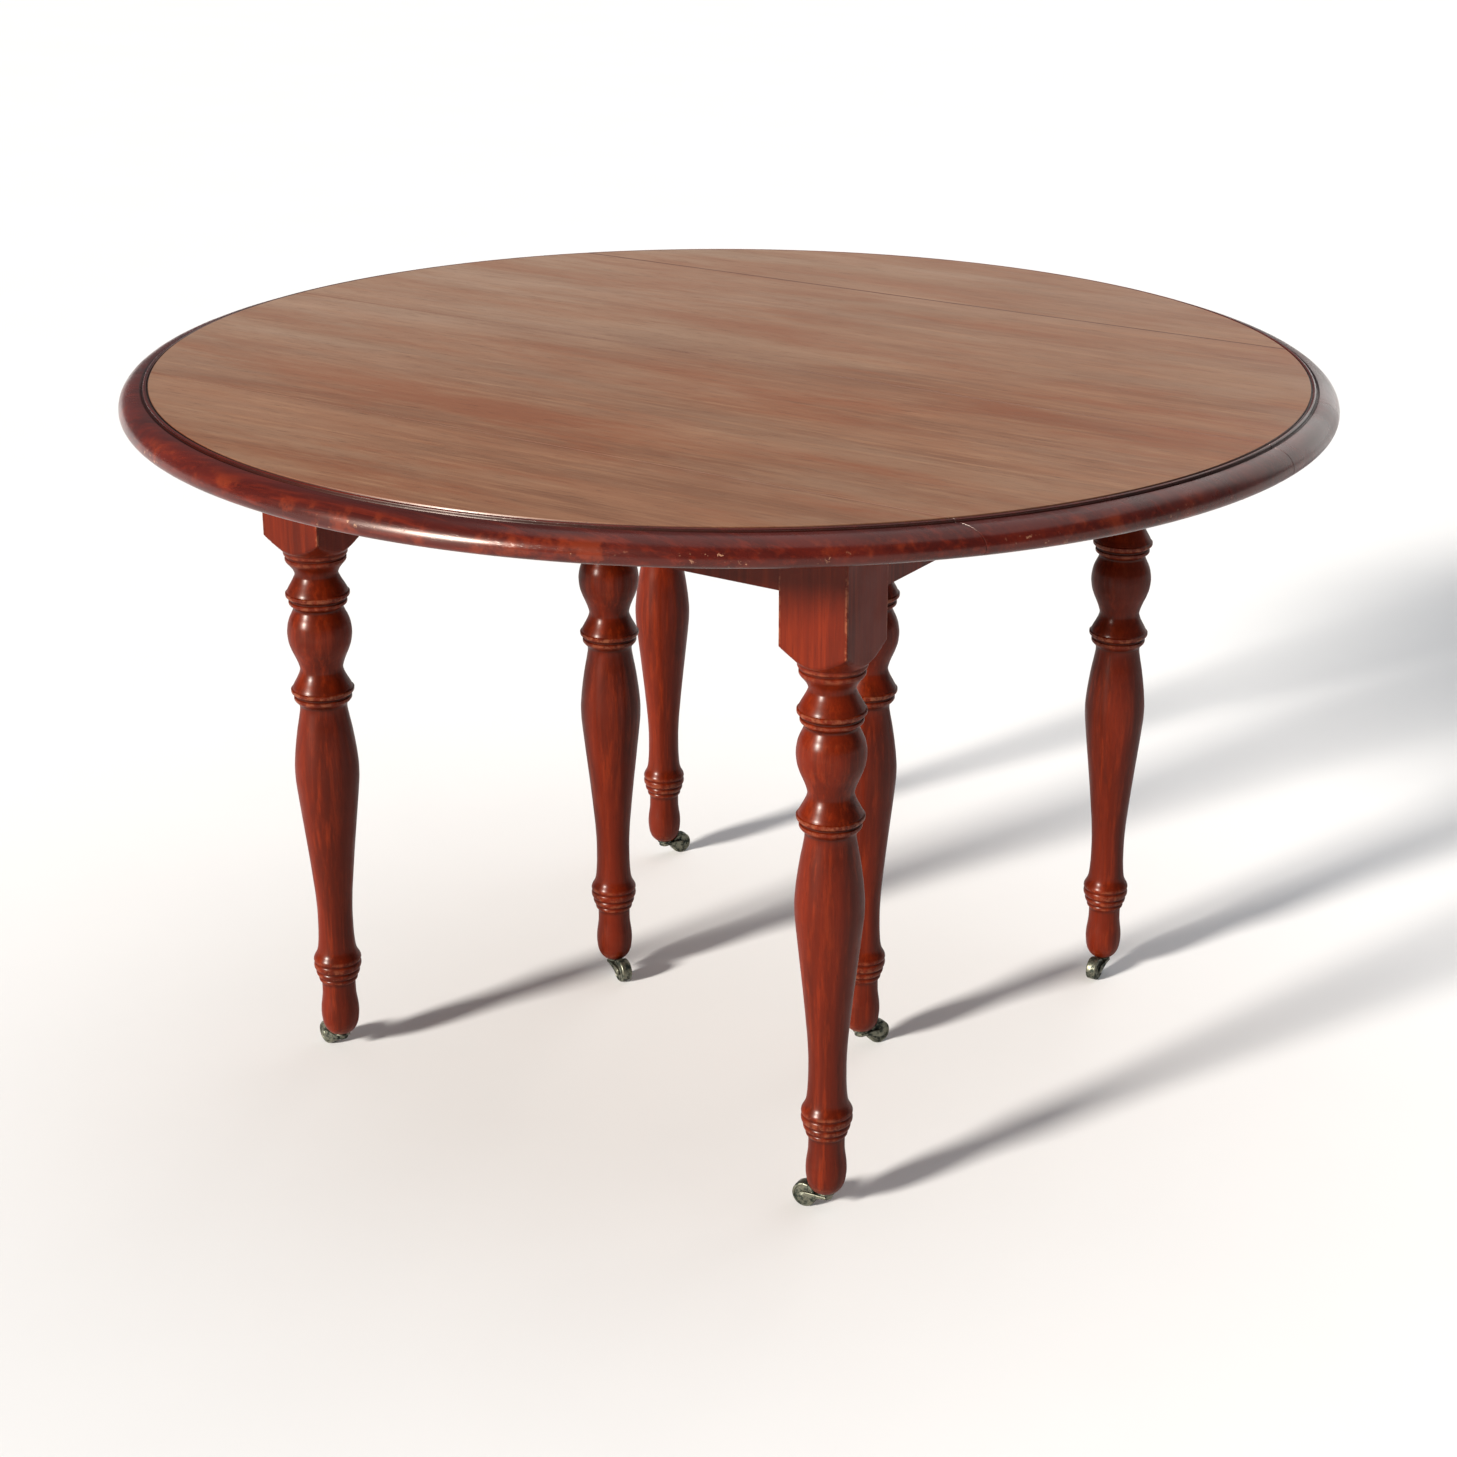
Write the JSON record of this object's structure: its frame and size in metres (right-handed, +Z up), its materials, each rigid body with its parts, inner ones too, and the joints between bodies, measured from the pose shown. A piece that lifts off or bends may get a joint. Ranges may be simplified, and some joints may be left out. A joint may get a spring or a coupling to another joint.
{
  "type": "drop-leaf extension table",
  "caption": "Round-topped wooden table with two drop leaves, a top that splits and slides apart, turned legs on small brass castors, and pull-out leaf supports.",
  "frame": {"origin": "on the floor under the centre of the round top", "axes": "+X along the leaf joints to the right, +Y to the rear, the way the rear half slides, +Z up"},
  "size_m": [1.2, 1.2, 0.724],
  "materials": {
    "top_wood": "worn french-polished mahogany, satin",
    "frame_wood": "dark red-brown french-polished mahogany, glossy",
    "inner_wood": "bare unpolished hardwood, darkened by age",
    "castor_brass": "aged brass with green-black patina",
    "hinge_iron": "dull wrought iron, lightly rusted"
  },
  "bodies": {
    "carriage": {"carriage_runner_left": "inner_wood", "carriage_runner_right": "inner_wood", "carriage_cross_rail": "inner_wood", "leg_middle_left": "frame_wood", "leg_middle_right": "frame_wood", "castor_plate_middle_left": "castor_brass", "castor_plate_middle_right": "castor_brass"},
    "half_front": {"half_top_front": "top_wood", "end_apron_front": "frame_wood", "side_apron_front_left": "frame_wood", "leg_front_left": "frame_wood", "runner_front_left": "inner_wood", "loper_keeper_front_left": "inner_wood", "hinge_fixed_front_left": "hinge_iron", "castor_plate_front_left": "castor_brass", "side_apron_front_right": "frame_wood", "leg_front_right": "frame_wood", "runner_front_right": "inner_wood", "loper_keeper_front_right": "inner_wood", "hinge_fixed_front_right": "hinge_iron", "castor_plate_front_right": "castor_brass", "split_dowel_left": "inner_wood", "split_dowel_right": "inner_wood"},
    "leaf_front": {"leaf_front": "top_wood", "hinge_moving_front_left": "hinge_iron", "hinge_moving_front_right": "hinge_iron"},
    "loper_front_left": {"loper_front_left": "inner_wood"},
    "loper_front_right": {"loper_front_right": "inner_wood"},
    "half_rear": {"half_top_rear": "top_wood", "end_apron_rear": "frame_wood", "side_apron_rear_left": "frame_wood", "leg_rear_left": "frame_wood", "runner_rear_left": "inner_wood", "loper_keeper_rear_left": "inner_wood", "hinge_fixed_rear_left": "hinge_iron", "castor_plate_rear_left": "castor_brass", "side_apron_rear_right": "frame_wood", "leg_rear_right": "frame_wood", "runner_rear_right": "inner_wood", "loper_keeper_rear_right": "inner_wood", "hinge_fixed_rear_right": "hinge_iron", "castor_plate_rear_right": "castor_brass"},
    "leaf_rear": {"leaf_rear": "top_wood", "hinge_moving_rear_left": "hinge_iron", "hinge_moving_rear_right": "hinge_iron"},
    "loper_rear_left": {"loper_rear_left": "inner_wood"},
    "loper_rear_right": {"loper_rear_right": "inner_wood"},
    "castor_horn_front_left": {"castor_horn_front_left": "castor_brass"},
    "castor_wheel_front_left": {"castor_wheel_front_left": "castor_brass"},
    "castor_horn_front_right": {"castor_horn_front_right": "castor_brass"},
    "castor_wheel_front_right": {"castor_wheel_front_right": "castor_brass"},
    "castor_horn_rear_left": {"castor_horn_rear_left": "castor_brass"},
    "castor_wheel_rear_left": {"castor_wheel_rear_left": "castor_brass"},
    "castor_horn_rear_right": {"castor_horn_rear_right": "castor_brass"},
    "castor_wheel_rear_right": {"castor_wheel_rear_right": "castor_brass"},
    "castor_horn_middle_left": {"castor_horn_middle_left": "castor_brass"},
    "castor_wheel_middle_left": {"castor_wheel_middle_left": "castor_brass"},
    "castor_horn_middle_right": {"castor_horn_middle_right": "castor_brass"},
    "castor_wheel_middle_right": {"castor_wheel_middle_right": "castor_brass"}
  },
  "joints": [
    {"name": "half_front_slide", "type": "slide", "parent": "carriage", "child": "half_front", "axis": [0, -1, 0], "range_m": [0, 0.38]},
    {"name": "half_rear_slide", "type": "slide", "parent": "carriage", "child": "half_rear", "axis": [0, 1, 0], "range_m": [0, 0.38]},
    {"name": "leaf_front_hinge", "type": "hinge", "parent": "half_front", "child": "leaf_front", "pos_m": [0, -0.36, 0.692], "axis": [-1, 0, 0], "range_deg": [-90, 0]},
    {"name": "leaf_rear_hinge", "type": "hinge", "parent": "half_rear", "child": "leaf_rear", "pos_m": [0, 0.36, 0.692], "axis": [1, 0, 0], "range_deg": [-90, 0]},
    {"name": "loper_front_left_slide", "type": "slide", "parent": "half_front", "child": "loper_front_left", "axis": [0, -1, 0], "range_m": [0, 0.17]},
    {"name": "loper_front_right_slide", "type": "slide", "parent": "half_front", "child": "loper_front_right", "axis": [0, -1, 0], "range_m": [0, 0.17]},
    {"name": "loper_rear_left_slide", "type": "slide", "parent": "half_rear", "child": "loper_rear_left", "axis": [0, 1, 0], "range_m": [0, 0.17]},
    {"name": "loper_rear_right_slide", "type": "slide", "parent": "half_rear", "child": "loper_rear_right", "axis": [0, 1, 0], "range_m": [0, 0.17]},
    {"name": "castor_front_left_swivel", "type": "hinge", "parent": "half_front", "child": "castor_horn_front_left", "pos_m": [-0.299, -0.299, 0.0125], "axis": [0, 0, 1], "continuous": true},
    {"name": "castor_front_left_roll", "type": "hinge", "parent": "castor_horn_front_left", "child": "castor_wheel_front_left", "pos_m": [-0.31938, -0.29392, 0.0125], "axis": [-0.2419, -0.9703, 0], "continuous": true},
    {"name": "castor_front_right_swivel", "type": "hinge", "parent": "half_front", "child": "castor_horn_front_right", "pos_m": [0.299, -0.299, 0.0125], "axis": [0, 0, 1], "continuous": true},
    {"name": "castor_front_right_roll", "type": "hinge", "parent": "castor_horn_front_right", "child": "castor_wheel_front_right", "pos_m": [0.27808, -0.30083, 0.0125], "axis": [0.0872, -0.9962, 0], "continuous": true},
    {"name": "castor_rear_left_swivel", "type": "hinge", "parent": "half_rear", "child": "castor_horn_rear_left", "pos_m": [-0.299, 0.299, 0.0125], "axis": [0, 0, 1], "continuous": true},
    {"name": "castor_rear_left_roll", "type": "hinge", "parent": "castor_horn_rear_left", "child": "castor_wheel_rear_left", "pos_m": [-0.28947, 0.31771, 0.0125], "axis": [-0.891, 0.454, 0], "continuous": true},
    {"name": "castor_rear_right_swivel", "type": "hinge", "parent": "half_rear", "child": "castor_horn_rear_right", "pos_m": [0.299, 0.299, 0.0125], "axis": [0, 0, 1], "continuous": true},
    {"name": "castor_rear_right_roll", "type": "hinge", "parent": "castor_horn_rear_right", "child": "castor_wheel_rear_right", "pos_m": [0.3001, 0.27803, 0.0125], "axis": [0.9986, 0.0523, 0], "continuous": true},
    {"name": "castor_middle_left_swivel", "type": "hinge", "parent": "carriage", "child": "castor_horn_middle_left", "pos_m": [-0.16, 0, 0.0125], "axis": [0, 0, 1], "continuous": true},
    {"name": "castor_middle_left_roll", "type": "hinge", "parent": "castor_horn_middle_left", "child": "castor_wheel_middle_left", "pos_m": [-0.14163, -0.01018, 0.0125], "axis": [0.4848, 0.8746, 0], "continuous": true},
    {"name": "castor_middle_right_swivel", "type": "hinge", "parent": "carriage", "child": "castor_horn_middle_right", "pos_m": [0.16, 0, 0.0125], "axis": [0, 0, 1], "continuous": true},
    {"name": "castor_middle_right_roll", "type": "hinge", "parent": "castor_horn_middle_right", "child": "castor_wheel_middle_right", "pos_m": [0.16921, 0.01887, 0.0125], "axis": [-0.8988, 0.4384, 0], "continuous": true}
  ]
}
